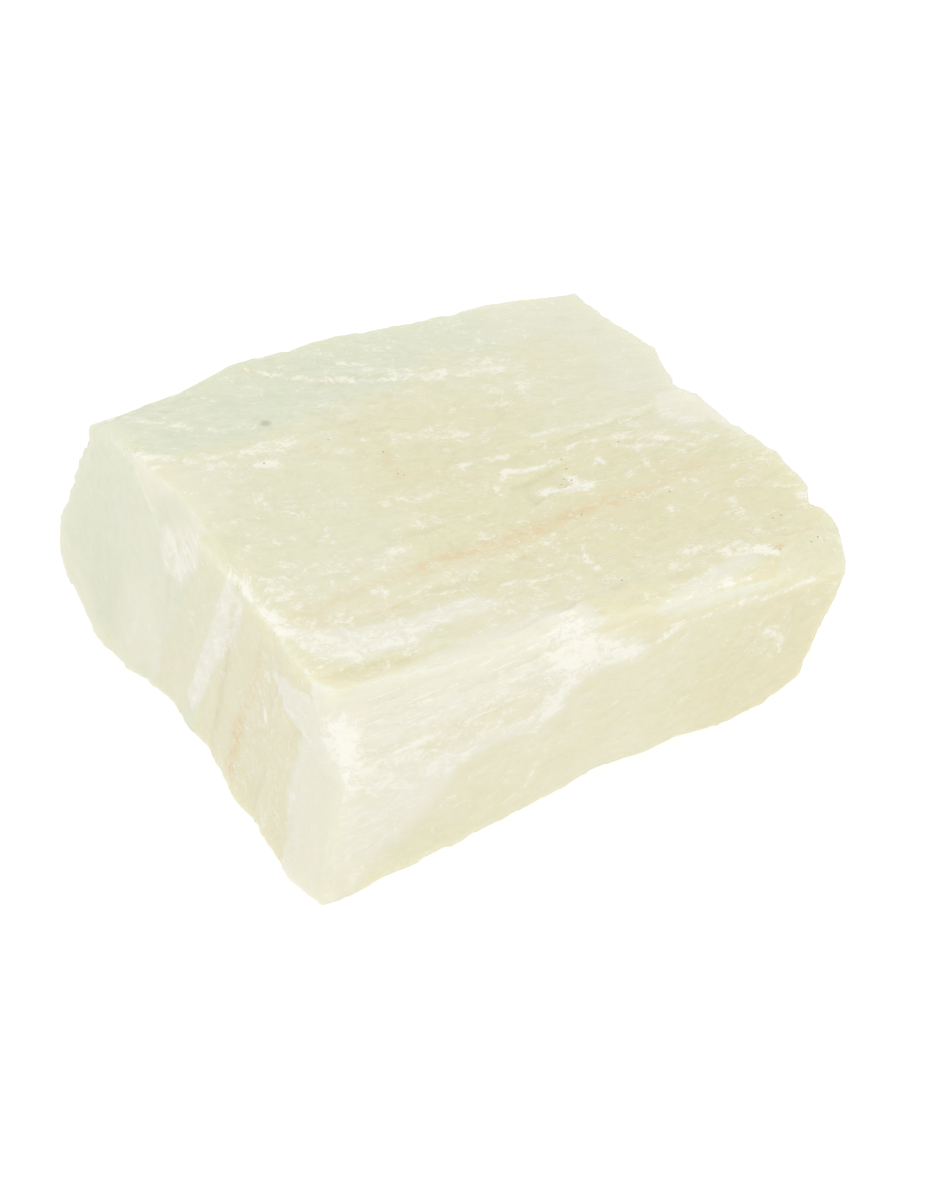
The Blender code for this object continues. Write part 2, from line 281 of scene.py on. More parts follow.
# Rust, in the same form
TOP_STAINS = {
    "seam left": (((-37, -22.5), (-30, -21.8), (-24, -21.4), (-17.5, -21.5)), 1, 0.46),
    "seam": (((-17, -21.5), (-13, -20.7), (-7, -21.3), (-4, -21.6), (0, -20.6), (7, -20.3),
        (14, -19.5), (21, -20)), 1.4, 0.86),
    "seam halo": (((-18, -22), (-8, -22.5), (4, -22), (20, -22)), 3, 0.24),
    "seam right": (((21, -20), (25.5, -18.3), (33, -18)), 1.3, 0.4),
    "low seam": (((-37, -24), (-33, -26), (-25, -27)), 1.6, 0.34),
    "trail left": (((-15, 10.5), (-14, 8.5)), 0.9, 0.6),
    "trail": (((-6.5, 4.5), (-8, 1.5), (-7.5, -1), (-2, -3), (1, -2)), 1, 0.42),
    "long line": (((-14, 31), (-10, 27.5), (-5.5, 23.8), (-1, 22)), 1, 0.28),
    "right spot": (((31, -40), (31.5, -39.5)), 0.8, 0.7),
    "brown corner": (((34, -34), (33, -38)), 1.6, 0.3),
    "right patch": (((24, -12), (29, -16)), 3, 0.26),
}
LEFT_STAINS = {
    "red seam": (((-19, 33), (-16.5, 26), (-14.5, 21), (-12, 15.5), (-9.5, 9), (-8, 4)),
        1.1, 0.55),
    "red heart": (((-12.2, 15), (-10.7, 11.8), (-10.1, 9.7)), 1.2, 1.7),
    "red foot": (((-10.1, 9.7), (-9.8, 6.5), (-9.6, 3.9)), 1, 1.3),
    "seam halo": (((-21, 37), (-18, 28), (-13, 15)), 2.4, 0.15),
}

# Zones with their own stone, painted in this order: (corners, softness of the rim, tone, milk,
# white). Tone runs from -1, cool and green, through 0.5, olive, to 1.5, brown; milk is pale stone
# with no green in it, and white is how crushed the stone is. A zone may leave the white alone.
# The two zones on the rounded front left corner also hold painted shade.
EVERYWHERE = ((-60, -60), (60, -60), (60, 60), (-60, 60))
TOP_ZONES = {
    "all": (EVERYWHERE, 1, 0.45, 0.12),
    "back left": (((-50, 24), (-36, 17), (-22, 16), (-6, 18), (5, 18), (14, 24), (16, 40),
        (-50, 40)), 2.2, -0.85, -0.05),
    "back right": (((13, 28), (18, 20), (30, 20), (50, 22), (50, 40), (10, 40)), 3.5, -0.8, 0.1),
    "middle left": (((-38, 12), (-22, 9), (-14, 2), (-20, -10), (-40, -8)), 4, 0.3, 0.08),
    "green middle": (((-10, 14), (6, 12), (20, 8), (14, -4), (2, -10), (-14, -8)), 4, 0.75, -0.15),
    "brown": (((-24, -26), (-17, -20), (-12, -9), (-3, -5), (8, -3), (17, -2), (30, -7), (38, -13),
        (44, -24), (44, -36), (34, -40), (15, -37), (0, -33), (-12, -31)), 2.6, 1, -0.1),
    "brown core": (((-14, -22), (0, -20), (14, -18), (30, -15), (40, -19), (42, -30), (30, -33),
        (14, -33), (0, -31), (-12, -28)), 2.5, 1.25, 0),
    "rusty step": (((-38, -19), (-28, -20), (-17, -21), (-4, -25), (-20, -28), (-35, -26),
        (-40, -23)), 1, 1, 0.2),
    "grey slope": (((44, 30), (46, 6), (44, -1), (44, -8), (37, -10), (35, -6), (37, -1), (32, 1),
        (32, 5), (35, 14), (32, 22), (25, 21), (24, 26), (28, 32)), 2, -0.5, 0.45, 0.08),
    "slope foot": (((37, -8), (35, -5), (37, -1), (41, -1), (44, -6), (45, -15), (42.8, -15),
        (40.5, -9)), 0.5, -0.6, 1, 0.16),
    "crumbled corner": (((-41, 20), (-38, 19), (-31, 15), (-28, 9), (-33, 3), (-41, 3)),
        1.8, 0.4, 0.36, 0.12),
    "lobed ledge": (((-40.5, -23), (-40.5, -28.5), (-39.5, -31), (-36.5, -34.2), (-27, -34.2),
        (-21, -32), (-17, -33.3), (-10, -31.5), (-14, -29), (-24, -29), (-32.5, -27.5),
        (-38, -25)), 0.5, 0.2, 0.88, 0.44),
    "lobed ledge middle": (((-39.8, -27.5), (-38.6, -31), (-36, -33.6), (-30, -33.8), (-25, -32.2),
        (-27, -30.4), (-34, -29.6), (-37.5, -27)), 0.8, 0.2, 0.95, 0.62),
    "pale foot": (((-19, -32), (-8, -33), (4, -33), (3, -36), (-8, -36), (-18, -35)),
        1.2, 0.9, 0.3, 0.2),
    "brown shelf": (((-43, -31.5), (-40, -33.2), (-36.5, -34.9), (-30, -35), (-26, -35.6),
        (-30, -37.6), (-38, -38.2), (-44, -36)), 0.6, 1.25, 0.12, 0),
    "front lip": (((-44, -38.6), (-38, -38.2), (-30, -37.8), (-22, -36.8), (-8, -36), (-2, -37),
        (2, -44), (-44, -44)), 0.6, -0.2, 0.8, 0.06),
    "brow": (((0, -36.6), (10, -36.6), (20, -36), (30, -37), (40, -36), (46, -40), (44, -46),
        (0, -46)), 1, 1.25, 0.04, 0.1),
    "blue brow": (((6, -44), (12, -41.5), (20, -39.5), (27, -38.5), (27, -40.5), (17, -43.5),
        (8, -46)), 0.9, -1.1, 0.7, 0.12),
    "bruise": (((-6, -38.2), (-3, -37.8), (-1.5, -40), (0, -46), (-9, -46), (-7.5, -40)),
        2.2, 0.3, 0.8, 0.87),
}
# Borders that two strips of the left face share, in Y and Z
OLIVE_EDGE = ((-5.5, 30), (-2, 22), (1.5, 14), (4.5, 8))
PALE_EDGE = ((-11.5, 30.5), (-6, 21.5), (-3, 16), (0.5, 9.5))
GREEN_EDGE = ((-18.5, 33), (-15, 25), (-12, 17), (-9, 10.5), (-4.5, -2))
BROWN_EDGE = ((-32, 28), (-29.5, 20.5), (-28, 14), (-27, -2))
LEFT_ZONES = {
    "facet": (EVERYWHERE, 1, -0.85, 0.2),
    "facet middle": (((24, 36), (10, 34), (6, 22), (12, 8), (26, 4), (22, 20)), 4, -0.6, 0.34),
    "facet foot": (((24, 16), (15, 20), (11, 12), (14, 4), (24, 2)), 2.6, -0.4, 0.58, 0.22),
    "heel band": (((50, 18), (38, 9), (28, 5), (22, 0), (50, 0)), 1.4, 0, 0.35),
    "flake": (((28, 44), (20, 39.2), (14, 36.6), (9.5, 34.6), (0, 34), (-2, 44)),
        0.4, -0.7, 0.8, 0.12),
    "flake patch": (((12, 38), (14, 37), (10.5, 35.5), (5, 36), (4, 41), (9, 42)),
        0.9, -1.2, 0.45, 0),
    "crushed lobe": (((9.5, 35.5), (-0.5, 41), (-1, 36), (0.5, 33.5), (5.5, 28), (9, 27.5),
        (10.5, 31)), 1.3, 0.2, 0.75, 0.72),
    "olive strip": (((-0.5, 42), (-0.5, 36), (1, 33), (6.5, 22), (12, 11.5), (17, -2), (8, -2),
        *OLIVE_EDGE[::-1], (-10, 39), (-10, 42)), 0.45, 0.65, 0.15, 0.06),
    "pale strip": (((-10, 40), *OLIVE_EDGE, (3, 6), *PALE_EDGE[::-1], (-14.5, 38)),
        0.4, 0.1, 0.85, 0.46),
    "green strip": (((-14.5, 39), *PALE_EDGE, (5, -2), *GREEN_EDGE[::-1], (-19, 42)),
        0.35, 0.9, 0.12, 0.08),
    "brown strip": (((-19, 42), *GREEN_EDGE, *BROWN_EDGE[::-1], (-33.5, 42)),
        0.4, 1.25, 0.08, 0.22),
    "corner facet": (((-33.5, 42), (-33, 34), *BROWN_EDGE, (-60, -2), (-60, 42)),
        0.35, 0.4, 0.8, 0.18),
    # Partly the stone's own colour, partly painted shade: milk is kept low here to darken the
    # bright band that light lays on the rounded front left corner
    "corner edge": (((-36.3, 25), (-50, 25), (-50, -4), (-34.5, -4)), 1.2, 0.5, 0.55, 0),
    "shelf side": (((-24, 43), (-24, 35.5), (-27, 35), (-35.3, 37.5), (-36.5, 43)),
        0.5, 1.1, 0.15, 0.1),
    "sliver": (((-22.5, 32.3), (-31.8, 29), (-35.3, 37.5), (-27, 35)), 0.3, -0.2, 0.85, 0.32),
    "kite": (((-35, 41), (-35, 37.5), (-33, 33), (-31.8, 28.5), (-35.5, 27.2), (-39.8, 26),
        (-50, 26), (-50, 41)), 0.4, -0.1, 0.95, 0.3),
    "kite heart": (((-36.4, 35.8), (-36.2, 32), (-38, 28.5), (-40, 26.5), (-50, 26.5), (-50, 36)),
        1.6, 0, 0.95, 0.86),
}
FRONT_ZONES = {
    "low": (EVERYWHERE, 1, 0.95, 0.12),
    "low right": (((18, -9), (10, 14), (20, 27), (60, 30), (60, -9)), 5, 1.4, 0),
    "right end": (((26, -9), (22, 16), (26, 28), (60, 28), (60, -9)), 4, 1.6, -0.3),
    "low left": (((-50, 22), (-24, 21), (-23, 19), (-25.5, 13.5), (-28, 10.5), (-31, 7.5),
        (-37, 3), (-50, -4)), 2.5, 0.6, 0.78, 0.42),
    # Partly the stone's own cream, partly painted shade: milk is kept low here to darken the
    # bright band that light lays on the rounded front left corner
    "corner": (((-50, 25), (-41.5, 22), (-41, 12), (-39.5, -4), (-50, -4)), 1.2, 0.5, 0.55, 0),
    "fibres": (((-60, 50), (-60, 22), (-33, 21), (-24, 20), (-17, 21.5), (-10, 20), (-6, 23.5),
        (-9, 28), (-4, 36), (0, 50)), 1, 0.5, 0.66, 0.6),
    "grey fibres": (((-42, 38), (-30, 38.5), (-12, 37.5), (-10, 33), (-24, 31.5), (-38, 30)),
        2, -0.2, 0.92, 0.45),
    "yellow fibres": (((-34, 29), (-14, 31), (-8, 28), (-12, 24), (-30, 24)), 1.6, 1, 0.35, 0.58),
    "lip": (((-44, 44), (-44, 36.2), (-38.7, 35.8), (-33, 36), (-25, 36.2), (-14, 36.4),
        (-10, 37.5), (-8, 44)), 0.6, -0.5, 0.7, 0.05),
    "shelf front": (((-44, 44), (-44, 39.8), (-38.8, 39.6), (-33.3, 39.1), (-27, 39), (-25, 44)),
        0.4, 1.2, 0.2, 0.06),
    "brow": (((-2, 50), (-3, 29), (6, 26.5), (15, 28.6), (26, 29.4), (32, 28.6), (40, 28.2),
        (50, 27), (50, 50)), 0.7, 1.3, 0.14, 0.22),
    "blue brow": (((6, 37), (14, 35), (21, 34), (27, 34), (25, 32), (15, 33), (9, 34)),
        0.9, -1.1, 0.75, 0.15),
    "kite": (((-50, 36.2), (-40, 36.2), (-38.6, 33), (-39.4, 29), (-41, 25.5), (-50, 25)),
        1.6, 0, 0.95, 0.86),
    "bruise": (((-8, 40), (-3, 38), (-1, 34), (3, 32), (6, 29.4), (4, 28), (0, 29.2), (-3, 28.6),
        (-6, 26), (-8.5, 22), (-9.8, 24), (-8.6, 28), (-8.4, 33)), 2, 0.3, 0.8, 0.87),
}

# Small black specks on the skin, in X and Y on the top face
SPECKS = (
    (15.5, -8), (15, -10), (13.5, -11.5), (14.2, -12.5), (12.5, -12.5), (25.5, -8), (10.5, -20.5),
    (25, -21.5), (7, -35.5), (36, -33.5), (34.5, -33.5), (38, -39.5), (36.5, -40), (-6.5, 5),
    (-7.5, -0.5), (-7, -1.2), (-23, 10.5), (-12, 11), (31, -40),
)
SOFT_SPOT = (-18.0, 18.5)

# The reach of a ray that nothing stops, and a gap with nothing near it
MISSED, FAR = 1e3, 9.0
# A ray misses a face below the first slope; below the second, a cut into it grows no more
GLANCING, LEAST_SLOPE = 0.05, 0.4
# Edges that bend by more than this are shaded sharp
SHARP_FROM = math.radians(38)
# The camera's target, and the soft box's place and side in metres
LOOK_AT = np.array([-1.5, -8.5, 17.0])
SOFT_BOX_PLACE, SOFT_BOX_SIDE = (-0.15, -0.35, 1.1), 0.9


def unit(vector):
    """A vector divided by its own length."""
    vector = np.asarray(vector, float)
    return vector / np.linalg.norm(vector)


def smooth(low, high, value):
    """0 below low, 1 above high, and 3t^2 - 2t^3 between them."""
    t = np.clip((value - low) / (high - low), 0.0, 1.0)
    return t * t * (3.0 - 2.0 * t)


def lattice_value(cell, seed):
    """A number from -1 to 1 for each whole-numbered cell, scrambled by large odd numbers."""
    x, y, z = np.moveaxis(cell, -1, 0)
    mixed = x * 73856093 ^ y * 19349663 ^ z * 83492791 ^ seed * 2654435761
    mixed = (mixed ^ (mixed >> 13)) * 1274126177 & 0x7FFFFFFF
    mixed = (mixed ^ (mixed >> 15)) * 668265263 & 0x7FFFFFFF
    return ((mixed ^ (mixed >> 11)) & 0xFFFF) / 32767.5 - 1.0


def cloud(points, size, seed):
    """Value noise from -1 to 1: lattice numbers blended by 6t^5 - 15t^4 + 10t^3 along each axis.

    size is how far apart the lattice points are, one number or one for each axis.
    """
    scaled = points / np.asarray(size, float)
    cell = np.floor(scaled).astype(np.int64)
    t = scaled - cell
    t = t * t * t * (t * (t * 6 - 15) + 10)
    total = 0.0
    for corner in np.ndindex(2, 2, 2):
        share = np.prod(np.where(corner, t, 1 - t), axis=-1)
        total = total + share * lattice_value(cell + np.array(corner), seed)
    return total


def clouds(points, size, seed, layers=3, fade=0.5):
    """Value noise summed over several layers, each half the size and fade times the strength."""
    total, share, weight = 0.0, 1.0, 0.0
    for layer in range(layers):
        finer = np.asarray(size, float) / 2**layer
        total = total + share * cloud(points, finer, seed + 31 * layer)
        weight += share
        share *= fade
    return total / weight


def wandering(points, *layers):
    """A shift in X, Y and Z at each point: the sum of some clouds, each (size, how far, seed)."""
    return np.stack([sum(far * clouds(points, size, seed + k) for size, far, seed in layers)
                     for k in range(3)], axis=-1)


def bowls(points, size, seed):
    """Shell-shaped hollows from 0 to 1: 1 - (distance to the nearest scattered seed / reach)^2."""
    scaled = points / np.asarray(size, float)
    cell = np.floor(scaled).astype(np.int64)
    nearest = np.full(len(points), FAR)
    for corner in np.ndindex(3, 3, 3):
        other = cell + np.array(corner) - 1
        jitter = np.stack([lattice_value(other, seed + k) for k in range(3)], axis=-1)
        gap = other + 0.5 + 0.42 * jitter - scaled
        nearest = np.minimum(nearest, np.sum(gap * gap, axis=-1))
    return np.clip(1.0 - nearest / 0.8, 0.0, 1.0)


def stairs(value, tread=0.82):
    """A staircase through value: level for the share tread of each step, then a quick rise."""
    whole = np.floor(value)
    return whole + smooth(tread, 1.0, value - whole)


def wrapping_grid(across, deep, tall, under):
    """The sheet that wraps a unit box: points from 0 to 1, quads and triangles.

    A grid covers the top; its rim is carried down the sides in `tall` rows, and then inwards
    under the box in `under` rings whose spacing grows towards a single point in the middle.
    """
    x, y = np.meshgrid(np.linspace(0, 1, across + 1), np.linspace(0, 1, deep + 1))
    lid = np.stack([x, y, np.ones_like(x)], axis=-1).reshape(-1, 3)
    index = np.arange(len(lid)).reshape(deep + 1, across + 1)
    rim = np.concatenate([index[0, :-1], index[:-1, -1], index[-1, :0:-1], index[:0:-1, 0]])
    wall = np.repeat(lid[rim][None], tall, axis=0)
    wall[..., 2] = np.linspace(1, 0, tall + 1)[1:, None]
    shrink = 1 - (np.arange(1, under) / under)[:, None, None] ** 1.7
    floor = np.zeros((under - 1, len(rim), 3))
    floor[..., :2] = 0.5 + (lid[rim][None, :, :2] - 0.5) * shrink
    points = np.concatenate([lid, wall.reshape(-1, 3), floor.reshape(-1, 3), [[0.5, 0.5, 0.0]]])
    rows = len(lid) + np.arange((tall + under - 1) * len(rim)).reshape(-1, len(rim))
    rows = np.concatenate([rim[None], rows])
    beside = np.roll(rows, -1, axis=1)
    lid_quads = np.stack([index[:-1, :-1], index[:-1, 1:], index[1:, 1:], index[1:, :-1]], -1)
    wall_quads = np.stack([rows[:-1], rows[1:], beside[1:], beside[:-1]], axis=-1)
    closing = np.stack([rows[-1], np.full(len(rim), len(points) - 1), beside[-1]], axis=-1)
    return points, np.concatenate([lid_quads.reshape(-1, 4), wall_quads.reshape(-1, 4)]), closing


def rays_through(points):
    """Starts and directions of the rays: out of the inner box, through the outer box's points.

    Both boxes lean with the layers: y = layer y - LAYER_SHEAR z.
    """
    outer = OUTER_BOX[0] + points * (OUTER_BOX[1] - OUTER_BOX[0])
    inner = np.clip(outer, *INNER_BOX)
    for box in (outer, inner):
        box[:, 1] -= LAYER_SHEAR * box[:, 2]
    way = outer - inner
    return inner, way / np.linalg.norm(way, axis=1, keepdims=True)


def reach_of_faces(start, way, lifts=0.0):
    """Along each ray, the distance to each cleavage face: (offset + lift - n.start) / (n.way)."""
    normals = np.array([unit(face[0]) for face in CLEAVAGE.values()])
    offsets = np.array([unit(face[0]) @ np.array(face[1], float) for face in CLEAVAGE.values()])
    slope = way @ normals.T
    gap = offsets + lifts - start @ normals.T
    return np.where(slope > GLANCING, gap / np.maximum(slope, GLANCING), MISSED), slope


def on_faces(face, *names):
    """Where a point's face is one of these."""
    return np.isin(face, [list(CLEAVAGE).index(name) for name in names])


def of_kind(kind, *names):
    """Where a point's break is one of these kinds."""
    return np.isin(kind, [KINDS.index(name) for name in names])


def turned(frame, turn, tip):
    """A frame turned about its third axis and then tipped about its first, in degrees."""
    a, b = math.radians(turn), math.radians(tip)
    about_z = np.array([[math.cos(a), -math.sin(a), 0], [math.sin(a), math.cos(a), 0], [0, 0, 1]])
    about_x = np.array([[1, 0, 0], [0, math.cos(b), -math.sin(b)], [0, math.sin(b), math.cos(b)]])
    return frame @ about_z @ about_x


def cleavage_frame(face, point, turn, tip):
    """Axes on a face (grain, across, outward, as columns) and the place on it under a point."""
    normal, origin = unit(CLEAVAGE[face][0]), np.array(CLEAVAGE[face][1], float)
    layer = np.array([0, math.cos(LAYER_LEAN), math.sin(LAYER_LEAN)])
    grain = np.cross(normal, layer)
    if np.linalg.norm(grain) < 0.5:
        grain = np.array([1, 0, 0]) - normal * normal[0]
    grain = unit(grain)
    point = np.array(point, float)
    point -= normal * ((point - origin) @ normal)
    return turned(np.stack([grain, np.cross(normal, grain), normal], axis=1), turn, tip), point


def ledge_cut(skin, axes, place, size, wander, shape):
    """Depth of a ledge at each point, and the distance to its rim.

    The depth is height over the ledge's floor, times a smooth rise over shape.ledge_slope from
    its long rims inwards and over a third of its length from its ends. The rims wander.
    """
    length, width, depth = size
    local = (skin - place) @ axes
    ragged = local[:, :2] + wander[:, :2] * np.array([1.6, shape.raggedness])
    beside = width / 2 - np.abs(ragged[:, 1])
    fade = smooth(0.0, length / 3, length / 2 - np.abs(ragged[:, 0]))
    height = np.clip(local[:, 2] + depth, 0.0, depth + 2.0) * fade
    rim = np.abs(beside) + FAR * (height <= 0.1)
    return height * smooth(0.0, shape.ledge_slope, beside), rim


def reach_of_scoop(start, way, middle, radii):
    """Along each ray, the distance to an ellipsoid.

    It is the smaller root of |(start + t way - middle) / radii| = 1.
    """
    a, b = way / radii, (start - middle) / radii
    aa, ab, bb = np.sum(a * a, 1), np.sum(a * b, 1), np.sum(b * b, 1) - 1
    root = ab * ab - aa * bb
    enter = (-ab - np.sqrt(np.maximum(root, 0))) / aa
    return np.where((root > 0) & (enter > 0), enter, MISSED)


def grain_of(point):
    """Grain coordinates: along the layers, across them, and up them, swung round towards the back.

    Across is y cos(lean) + z sin(lean); the other two follow. The first two are turned about
    the third by an angle that grows from 0 at the front to 20 degrees at the back.
    """
    x, y, z = point.T
    across = y * math.cos(LAYER_LEAN) + z * math.sin(LAYER_LEAN)
    up = z * math.cos(LAYER_LEAN) - y * math.sin(LAYER_LEAN)
    swing = np.radians(-20.0) * smooth(-26, 16, y) * smooth(-41.5, -38, x)
    return np.stack([x * np.cos(swing) + across * np.sin(swing),
                     across * np.cos(swing) - x * np.sin(swing), up], axis=-1)


def reliefs(point, grain, shape):
    """How far a face of each kind stands out of its plane at each point, in millimetres.

    Each is a sum of clouds, whose last numbers are seeds; a staircase through a cloud makes
    ledges, and bowls make shells.
    """
    treads = 2.2 * cloud(grain, (34, 6.5, 30), 5) + 0.4 * cloud(grain, (9, 2.2, 9), 6)
    ledgy = shape.ledge_depth * (stairs(treads) / 2.2)
    top = 0.20 * cloud(grain, (18, 8, 20), 1) + ledgy + 0.055 * clouds(grain, (5, 1.1, 5), 2)
    flakes = (smooth(0.30, 0.42, clouds(grain, (3.4, 1.3, 3.0), 40))
              * smooth(-0.1, 0.4, cloud(grain, (14, 9, 14), 41)))
    top = top - 0.22 * flakes

    x, y, z = point.T
    threads = clouds(np.stack([x, y, z - 0.06 * x], -1), (11, 3, 1.25), 11)
    fibrous = shape.fibre_depth * (stairs(3.0 * threads, 0.6) / 3.0 + 0.35 * threads) - 0.1

    smoothish = 0.16 * cloud(point, (16, 16, 12), 21) + 0.03 * clouds(point, (3, 3, 2), 22)
    leaning = 0.28 * clouds(grain, (3.0, 1.0, 14), 31) * smooth(-16, -22, y) * smooth(-34, -31, y)
    left = smoothish + leaning + 0.10 * stairs(2.5 * cloud(grain, (6, 2.6, 26), 33)) / 2.5

    shell = (-1.1 * bowls(point, (9, 9, 11), 51) - 0.45 * bowls(point, (4.2, 4.2, 5.0), 54)
             + 0.10 * clouds(point, 2.2, 57))

    treads = 1.6 * cloud(grain, (40, 20, 7), 61) + 0.3 * cloud(grain, (8, 5, 2.4), 62)
    stepped = (-0.9 * stairs(treads) / 1.6 + 0.3 * clouds(grain, (14, 4, 1.6), 63)
               - 0.7 * bowls(point, (15, 12, 12), 64))

    by_kind = {"base": 0.0 * top, "top": top, "smooth": smoothish, "fibrous": fibrous,
               "stepped": stepped, "left": left, "shell": shell}
    return np.stack([by_kind[name] for name in KINDS], axis=1)


def stopped_by_faces(start, way, shape):
    """Reach, face, kind and gap to the next face for each ray, and its slope to every face.

    The relief is worked out where the ray meets the flat faces. The edge between two faces is
    rounded by rounding / 4 (1 - gap / rounding)^2.
    """
    kinds = np.array([KINDS.index(entry[2]) for entry in CLEAVAGE.values()])
    flat = start + reach_of_faces(start, way)[0].min(axis=1)[:, None] * way
    lifts = reliefs(flat, grain_of(flat), shape)
    reach, slope = reach_of_faces(start, way, lifts[:, kinds])
    rows, (face, beside) = np.arange(len(start)), np.argsort(reach, axis=1).T[:2]
    nearest, second = reach[rows, face], reach[rows, beside]
    edge_gap = (second - nearest) * slope[rows, beside]
    close = np.clip(1 - (second - nearest) / shape.rounding, 0, 1)
    return nearest - shape.rounding / 4 * close**2, face, kinds[face], edge_gap, slope


def ledge_stops(skin, way, slope, wander, shape):
    """How far the ledges stop each ray short, and how near the closest ledge rim is."""
    short, gap = np.zeros(len(skin)), np.full(len(skin), FAR)
    for on, point, size, (turn, tip) in LEDGES.values():
        axes, place = cleavage_frame(on, point, turn, tip)
        cut, rim = ledge_cut(skin, axes, place, size, wander, shape)
        facing = slope[:, list(CLEAVAGE).index(on)] > 0.3
        back = cut / np.maximum(way @ axes[:, 2], LEAST_SLOPE)
        short = np.maximum(short, np.where(facing, back, 0.0))
        gap = np.where(facing, np.minimum(gap, rim), gap)
    return short, gap


def flake_cut(skin, reached, slope, wander):
    """Depth of the edge flake at each point: height over its plane, faded towards its ends."""
    direction, point, (low, high) = EDGE_FLAKE
    beyond = reached - point
    away = (beyond @ unit(direction)
            - 0.033 * np.clip(-beyond[:, 1], 0, 15) * np.clip(beyond[:, 2], 0, 8))
    inside = np.minimum(skin[:, 1] - low, high - skin[:, 1]) + 0.5 * wander[:, 1]
    above_base = slope[:, list(CLEAVAGE).index("base")] < 0.2
    return np.where(above_base, np.clip(away, 0, 3) * smooth(0.0, 6.0, inside), 0.0)


def scooped(start, way, nearest, kind, wander):
    """Rays stopped short by the shell-shaped breaks, whose walls wander, and the kinds there."""
    for name, (middle, radii) in SCOOPS.items():
        broken = 0.9 if "hollow" in name else 0.35
        stop = reach_of_scoop(start + broken * wander, way, np.array(middle), np.array(radii))
        hit = stop < nearest
        wall = KINDS.index("smooth" if name == "grey_slope" else "shell")
        nearest, kind = np.where(hit, stop, nearest), np.where(hit, wall, kind)
    return nearest, kind


def chips_of(skin, face, kind, edge_gap):
    """Depth of the chips at each point.

    Crumbs fade by exp(-gap / width) from an edge, with more along the foot. Three clean faces
    have few, and the base has none.
    """
    chips = smooth(0.0, 0.6, clouds(skin, (3.6, 2.6, 2.6), 90, 2)) * np.exp(-edge_gap / 0.8)
    foot = smooth(0.05, 0.35, clouds(skin, (2.6, 2.6, 3.4), 93, 2))
    chips = chips + 1.1 * foot * smooth(3.0, 0.5, skin[:, 2])
    crumbs = 0.7 * smooth(0.1, 0.6, clouds(skin, 1.5, 96, 2)) * np.exp(-edge_gap / 0.6)
    chips = chips + crumbs - 0.3 * np.exp(-edge_gap)
    chips = chips * (1 - 0.8 * on_faces(face, "corner_kite", "left_corner", "front_toe"))
    return chips * ~of_kind(kind, "base")


def carve(shape):
    """The block's points in millimetres, its quads and triangles, and four values for each point.

    The values are its kind of break, its face, and its gaps to the next face and to a ledge rim.
    """
    sheet, quads, closing = wrapping_grid(shape.across, shape.deep, shape.tall, shape.under)
    start, way = rays_through(sheet)
    nearest, face, kind, edge_gap, slope = stopped_by_faces(start, way, shape)
    facing = np.maximum(slope[np.arange(len(face)), face], 0.5)
    skin = start + nearest[:, None] * way
    wander = wandering(skin, (7.0, 1.5, 70), (2.0, 0.7, 80))

    short, ledge_gap = ledge_stops(skin, way, slope, wander, shape)
    nearest = nearest - short
    cut = flake_cut(skin, start + nearest[:, None] * way, slope, wander)
    nearest = nearest - cut / np.maximum(way @ unit(EDGE_FLAKE[0]), LEAST_SLOPE)
    flaked = cut > 0.05
    face = np.where(flaked, FLAKED, face)
    kind = np.where(flaked, KINDS.index("smooth"), kind)
    edge_gap = np.where(flaked, 1.5 * cut, edge_gap)
    nearest, kind = scooped(start, way, nearest, kind, wander)

    skin = start + nearest[:, None] * way
    lift = -shape.chip_depth * chips_of(skin, face, kind, edge_gap)
    skin = skin + (lift / facing)[:, None] * way
    for middle, radii, shift in SWELLS.values():
        near = np.exp(-np.sum(((skin - middle) / radii) ** 2, axis=1))
        skin = skin + near[:, None] * np.array(shift)
    skin[:, 2] = np.maximum(skin[:, 2], 0.0)
    return skin, quads, closing, kind, face, edge_gap, ledge_gap


def gap_to_lines(places, starts, ends):
    """The squared distance from each place to the nearest of some straight lines."""
    gap = np.full(len(places), np.inf)
    for a, b in zip(starts, ends):
        run = b - a
        t = np.clip((places - a) @ run / (run @ run), 0.0, 1.0)
        gap = np.minimum(gap, np.sum((places - a - t[:, None] * run) ** 2, axis=1))
    return gap


def strokes(places, marks):
    """The strongest mark at each place: strength times exp(-(distance / half-width)^2)."""
    total = np.zeros(len(places))
    for points, width, strength in marks.values():
        points = np.array(points, float)
        gap = gap_to_lines(places, points[:-1], points[1:])
        total = np.maximum(total, strength * np.exp(-gap / width**2))
    return total


def depth_inside(places, corners):
    """Distance of each place to a polygon's rim, negative outside it.

    A line from a place inside it along the first axis crosses the rim an odd number of times.
    """
    ends = np.roll(corners, -1, axis=0)
    x, y = places.T
    within = np.zeros(len(places), bool)
    for a, b in zip(corners, ends):
        run = b - a
        beside = (x - a[0]) * run[1] < run[0] * (y - a[1])
        within ^= ((a[1] > y) != (b[1] > y)) & (beside != (run[1] < 0))
    distance = np.sqrt(gap_to_lines(places, corners, ends))
    return np.where(within, distance, -distance)


def zones(places, painted):
    """Tone, milk and white: each zone in turn is laid over the last, smoothly across its rim."""
    made = np.zeros((3, len(places)))
    for corners, softness, *values in painted.values():
        share = smooth(-softness, softness, depth_inside(places, np.array(corners, float)))
        for row, value in zip(made, values):
            row += share * (value - row)
    return made


def worn_white(skin, kind, face, edge_gap, ledge_gap):
    """White of worn edges and ledge rims, crumbs times exp(-gap / width), and of rough breaks."""
    crumb = smooth(-0.2, 0.5, clouds(skin, 2.4, 120))
    soft = on_faces(face, "left_corner", "front_toe", "front_low") & (skin[:, 0] < -30)
    worn = (np.where(soft, 0.0, 0.34) * np.exp(-edge_gap / 0.4) * crumb
            + 0.24 * np.exp(-ledge_gap / 0.5) * crumb)
    rough = of_kind(kind, "shell", "stepped")
    worn = np.maximum(worn, rough * 0.42 * smooth(0.0, 0.6, clouds(skin, 6.0, 150)))
    return np.where(of_kind(kind, "base"), 0.0, worn)


